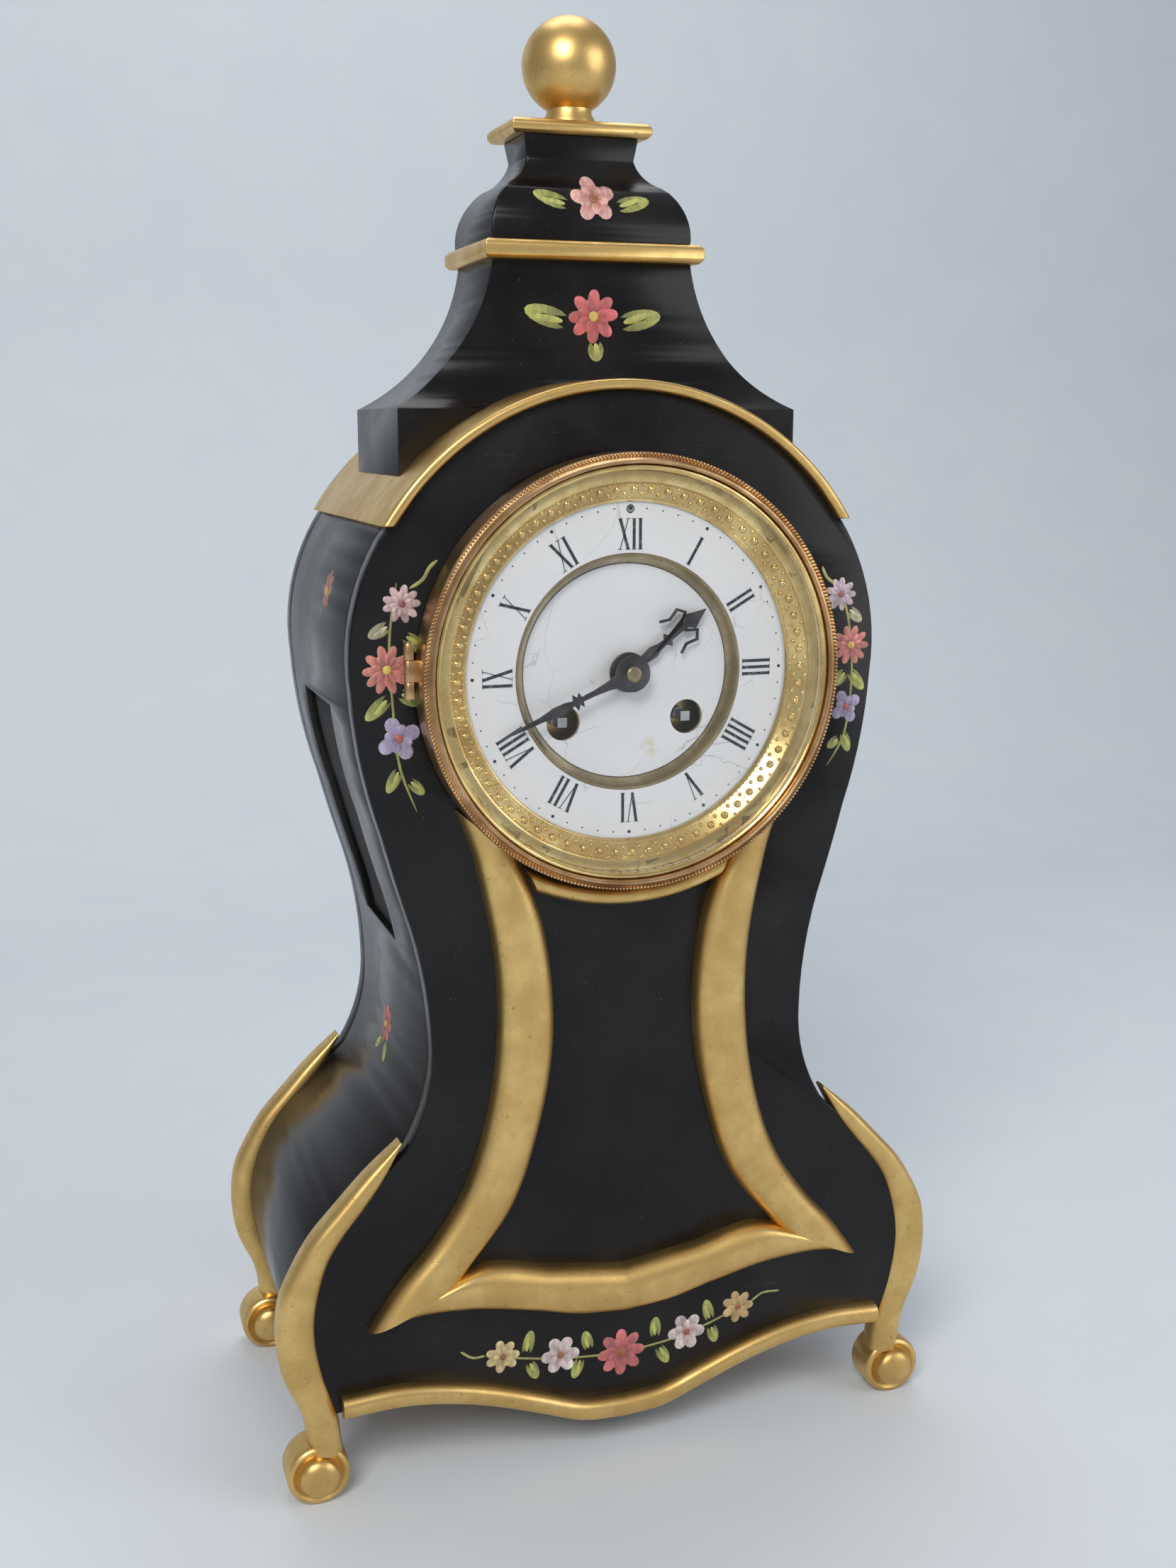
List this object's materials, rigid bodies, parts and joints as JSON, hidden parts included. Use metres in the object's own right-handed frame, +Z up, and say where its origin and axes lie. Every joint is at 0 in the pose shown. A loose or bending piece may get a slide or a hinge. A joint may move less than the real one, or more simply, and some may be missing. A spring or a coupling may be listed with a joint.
{
  "type": "mantel clock",
  "caption": "Waisted black case with gilt scroll mouldings, scroll feet and stepped crown with ball; round enamel dial under a hinged glazed bezel, pendulum movement with bell strike.",
  "frame": {"origin": "On the floor plane under the middle of the bounding box", "axes": "X to the right seen from the front, Y from the front to the back, Z up"},
  "size_m": [0.2372, 0.144, 0.4813],
  "materials": {
    "black_wood": "ebonised and polished",
    "plain_wood": "plain pine",
    "gilt": "gilded, worn on the edges",
    "cloth": "dark woven cloth on card",
    "glass": "clear",
    "enamel": "glazed white",
    "blued_steel": "dark blued",
    "steel": "plain",
    "brass": "lacquered",
    "bell_metal": "turned"
  },
  "bodies": {
    "case": {"apron_moulding": "gilt", "arch_moulding": "gilt", "back_board": "black_wood", "back_hinge": "gilt", "back_plate": "brass", "ball_finial": "gilt", "base_board": "plain_wood", "bell": "bell_metal", "bell_stand": "brass", "bezel_seat": "gilt", "bottom_bar_moulding": "gilt", "centre_disc": "enamel", "chapter_ring": "enamel", "crescent_moulding": "gilt", "crown_bell": "black_wood", "crown_block": "black_wood", "crown_middle_cap": "gilt", "crown_top_cap": "gilt", "dial_brass_ring": "brass", "dial_plate": "brass", "front_board": "black_wood", "front_left_leg": "gilt", "front_plate": "brass", "front_right_leg": "gilt", "hinge_pins": "steel", "left_arm_moulding": "gilt", "left_side_panel": "black_wood", "plate_pillars": "brass", "rear_left_leg": "gilt", "rear_right_leg": "gilt", "right_arm_moulding": "gilt", "right_side_panel": "black_wood", "seatboard": "plain_wood", "sound_panels": "cloth"},
    "bezel": {"bezel_ring": "gilt", "sight_ring": "gilt", "bezel_glass": "glass"},
    "back_door": {"back_cover": "brass", "back_cover_knob": "brass"},
    "minute_hand_body": {"minute_hand": "blued_steel", "hand_nut": "brass", "cannon_pinion": "brass"},
    "hour_hand_body": {"hour_hand": "blued_steel", "hour_wheel": "brass"},
    "minute_wheel_body": {"minute_wheel": "brass"},
    "centre_wheel_body": {"centre_wheel": "brass"},
    "second_wheel_body": {"second_wheel": "brass"},
    "third_wheel_body": {"third_wheel": "brass"},
    "escape_wheel_body": {"escape_wheel": "brass"},
    "going_barrel_body": {"going_barrel": "brass"},
    "going_arbor_body": {"going_winding_arbor": "steel"},
    "strike_barrel_body": {"strike_barrel": "brass"},
    "strike_wheel_body": {"strike_wheel": "brass"},
    "strike_arbor_body": {"strike_winding_arbor": "steel"},
    "anchor_body": {"anchor": "steel"},
    "pendulum": {"pendulum_rod": "steel"},
    "bob": {"pendulum_bob": "brass"},
    "nut": {"rating_nut": "brass"},
    "hammer_body": {"hammer": "steel"},
    "regulator": {"regulator_arbor": "steel"}
  },
  "joints": [
    {"name": "bezel_hinge", "type": "hinge", "parent": "case", "child": "bezel", "pos_m": [-0.0713, -0.06055, 0.2775], "axis": [0, 0, -1], "range_deg": [0, 105]},
    {"name": "back_door_hinge", "type": "hinge", "parent": "case", "child": "back_door", "pos_m": [0.0516, 0.06195, 0.274], "axis": [0, 0, -1], "range_deg": [0, 110]},
    {"name": "minute_hand_turn", "type": "hinge", "parent": "case", "child": "minute_hand_body", "pos_m": [0, -0.02625, 0.274], "axis": [0, 1, 0], "continuous": true},
    {"name": "hour_hand_turn", "type": "hinge", "parent": "case", "child": "hour_hand_body", "pos_m": [0, -0.02625, 0.274], "axis": [0, 1, 0], "continuous": true},
    {"name": "minute_wheel_turn", "type": "hinge", "parent": "case", "child": "minute_wheel_body", "pos_m": [0, -0.02625, 0.262], "axis": [0, 1, 0], "continuous": true},
    {"name": "centre_wheel_turn", "type": "hinge", "parent": "case", "child": "centre_wheel_body", "pos_m": [0, -0.02625, 0.274], "axis": [0, 1, 0], "continuous": true},
    {"name": "second_wheel_turn", "type": "hinge", "parent": "case", "child": "second_wheel_body", "pos_m": [0.0141, -0.02625, 0.2769], "axis": [0, 1, 0], "continuous": true},
    {"name": "going_barrel_turn", "type": "hinge", "parent": "case", "child": "going_barrel_body", "pos_m": [0.021, -0.02625, 0.2583], "axis": [0, 1, 0], "continuous": true},
    {"name": "third_wheel_turn", "type": "hinge", "parent": "case", "child": "third_wheel_body", "pos_m": [-0.0075, -0.02625, 0.2854], "axis": [0, 1, 0], "continuous": true},
    {"name": "escape_wheel_turn", "type": "hinge", "parent": "case", "child": "escape_wheel_body", "pos_m": [0, -0.02625, 0.296], "axis": [0, 1, 0], "continuous": true},
    {"name": "going_winding", "type": "hinge", "parent": "case", "child": "going_arbor_body", "pos_m": [0.021, -0.02625, 0.2583], "axis": [0, 1, 0], "continuous": true},
    {"name": "strike_barrel_turn", "type": "hinge", "parent": "case", "child": "strike_barrel_body", "pos_m": [-0.021, -0.02625, 0.2583], "axis": [0, 1, 0], "continuous": true},
    {"name": "strike_wheel_turn", "type": "hinge", "parent": "case", "child": "strike_wheel_body", "pos_m": [-0.024, -0.02625, 0.2779], "axis": [0, 1, 0], "continuous": true},
    {"name": "strike_winding", "type": "hinge", "parent": "case", "child": "strike_arbor_body", "pos_m": [-0.021, -0.02625, 0.2583], "axis": [0, 1, 0], "continuous": true},
    {"name": "pendulum_swing", "type": "hinge", "parent": "case", "child": "pendulum", "pos_m": [0, 0.00425, 0.31], "axis": [0, 1, 0], "range_deg": [-5, 5]},
    {"name": "anchor_rock", "type": "hinge", "parent": "case", "child": "anchor_body", "pos_m": [0, -0.02625, 0.31], "axis": [0, 1, 0], "range_deg": [-5, 5]},
    {"name": "bob_height", "type": "slide", "parent": "pendulum", "child": "bob", "axis": [0, 0, 1], "range_m": [-0.003, 0.004]},
    {"name": "rating_nut_turn", "type": "hinge", "parent": "bob", "child": "nut", "pos_m": [0, 0.00425, 0.167], "axis": [0, 0, 1], "continuous": true},
    {"name": "hammer_strike", "type": "hinge", "parent": "case", "child": "hammer_body", "pos_m": [-0.0345, 0.01775, 0.284], "axis": [0, 1, 0], "range_deg": [-15, 10], "stiffness_Nm_per_rad": 0.02},
    {"name": "regulator_turn", "type": "hinge", "parent": "case", "child": "regulator", "pos_m": [0, -0.02625, 0.3254], "axis": [0, 1, 0], "continuous": true}
  ],
  "couplings": [
    {"joint": "hour_hand_turn", "follows": "minute_hand_turn", "ratio": 0.083333},
    {"joint": "minute_wheel_turn", "follows": "minute_hand_turn", "ratio": -0.33333},
    {"joint": "second_wheel_turn", "follows": "centre_wheel_turn", "ratio": -0.14286},
    {"joint": "going_barrel_turn", "follows": "centre_wheel_turn", "ratio": 0.02381},
    {"joint": "third_wheel_turn", "follows": "centre_wheel_turn", "ratio": -12},
    {"joint": "escape_wheel_turn", "follows": "centre_wheel_turn", "ratio": 132},
    {"joint": "strike_wheel_turn", "follows": "strike_barrel_turn", "ratio": -6},
    {"joint": "anchor_rock", "follows": "pendulum_swing", "ratio": 1}
  ]
}
